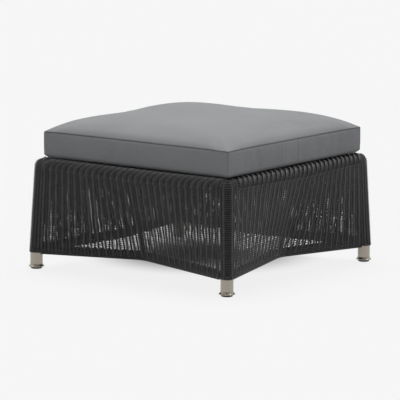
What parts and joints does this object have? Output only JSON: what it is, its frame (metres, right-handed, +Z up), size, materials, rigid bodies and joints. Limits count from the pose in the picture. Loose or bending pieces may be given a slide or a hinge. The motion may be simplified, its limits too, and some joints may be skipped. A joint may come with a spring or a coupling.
{
  "type": "footstool",
  "caption": "Square outdoor footstool: open-weave sides drawn in at the middle over a tube frame, levelling feet in metal sleeves, and a loose box cushion.",
  "frame": {"origin": "on the floor, below the middle of the stool", "axes": "+Z up; -Y and +X are the two sides that face the picture's camera"},
  "size_m": [0.7466, 0.7466, 0.4521],
  "materials": {
    "weave": "matte woven resin strand, charcoal",
    "frame": "black powder coat",
    "foot_metal": "brushed, satin",
    "screw_steel": "zinc plated",
    "black_plastic": "moulded, satin black",
    "canvas": "fine grey outdoor canvas",
    "foam": "open-cell foam"
  },
  "bodies": {
    "stool": {"top_rail_front": "frame", "low_rail_front": "frame", "mid_strut_front": "frame", "woven_skirt_front": "weave", "top_rail_right": "frame", "low_rail_right": "frame", "mid_strut_right": "frame", "woven_skirt_right": "weave", "top_rail_back": "frame", "low_rail_back": "frame", "mid_strut_back": "frame", "woven_skirt_back": "weave", "top_rail_left": "frame", "low_rail_left": "frame", "mid_strut_left": "frame", "woven_skirt_left": "weave", "leg_front_right": "frame", "woven_corner_front_right": "weave", "foot_tube_front_right": "foot_metal", "foot_insert_front_right": "black_plastic", "foot_collar_front_right": "foot_metal", "leg_back_right": "frame", "woven_corner_back_right": "weave", "foot_tube_back_right": "foot_metal", "foot_insert_back_right": "black_plastic", "foot_collar_back_right": "foot_metal", "leg_back_left": "frame", "woven_corner_back_left": "weave", "foot_tube_back_left": "foot_metal", "foot_insert_back_left": "black_plastic", "foot_collar_back_left": "foot_metal", "leg_front_left": "frame", "woven_corner_front_left": "weave", "foot_tube_front_left": "foot_metal", "foot_insert_front_left": "black_plastic", "foot_collar_front_left": "foot_metal", "deck_brace_left": "frame", "deck_brace_right": "frame", "woven_deck": "weave"},
    "cushion": {"cushion_core": "foam", "cushion_top": "canvas", "cushion_boxing": "canvas", "cushion_underside": "canvas"},
    "pad_front_right": {"foot_pad_front_right": "black_plastic"},
    "screw_front_right": {"foot_stud_front_right": "screw_steel"},
    "pad_back_right": {"foot_pad_back_right": "black_plastic"},
    "screw_back_right": {"foot_stud_back_right": "screw_steel"},
    "pad_back_left": {"foot_pad_back_left": "black_plastic"},
    "screw_back_left": {"foot_stud_back_left": "screw_steel"},
    "pad_front_left": {"foot_pad_front_left": "black_plastic"},
    "screw_front_left": {"foot_stud_front_left": "screw_steel"}
  },
  "joints": [
    {"name": "cushion_lift", "type": "slide", "parent": "stool", "child": "cushion", "axis": [0, 0, 1], "range_m": [0, 0.15]},
    {"name": "pad_drop_front_right", "type": "slide", "parent": "stool", "child": "pad_front_right", "axis": [0, 0, -1], "range_m": [0, 0.008]},
    {"name": "screw_turn_front_right", "type": "hinge", "parent": "pad_front_right", "child": "screw_front_right", "pos_m": [0.35, -0.35, 0.02], "axis": [0, 0, -1], "range_deg": [0, 2304.1]},
    {"name": "pad_drop_back_right", "type": "slide", "parent": "stool", "child": "pad_back_right", "axis": [0, 0, -1], "range_m": [0, 0.008]},
    {"name": "screw_turn_back_right", "type": "hinge", "parent": "pad_back_right", "child": "screw_back_right", "pos_m": [0.35, 0.35, 0.02], "axis": [0, 0, -1], "range_deg": [0, 2304.1]},
    {"name": "pad_drop_back_left", "type": "slide", "parent": "stool", "child": "pad_back_left", "axis": [0, 0, -1], "range_m": [0, 0.008]},
    {"name": "screw_turn_back_left", "type": "hinge", "parent": "pad_back_left", "child": "screw_back_left", "pos_m": [-0.35, 0.35, 0.02], "axis": [0, 0, -1], "range_deg": [0, 2304.1]},
    {"name": "pad_drop_front_left", "type": "slide", "parent": "stool", "child": "pad_front_left", "axis": [0, 0, -1], "range_m": [0, 0.008]},
    {"name": "screw_turn_front_left", "type": "hinge", "parent": "pad_front_left", "child": "screw_front_left", "pos_m": [-0.35, -0.35, 0.02], "axis": [0, 0, -1], "range_deg": [0, 2304.1]}
  ],
  "couplings": [
    {"joint": "screw_turn_front_right", "follows": "pad_drop_front_right", "rad_per_m": 5026.5},
    {"joint": "screw_turn_back_right", "follows": "pad_drop_back_right", "rad_per_m": 5026.5},
    {"joint": "screw_turn_back_left", "follows": "pad_drop_back_left", "rad_per_m": 5026.5},
    {"joint": "screw_turn_front_left", "follows": "pad_drop_front_left", "rad_per_m": 5026.5}
  ]
}
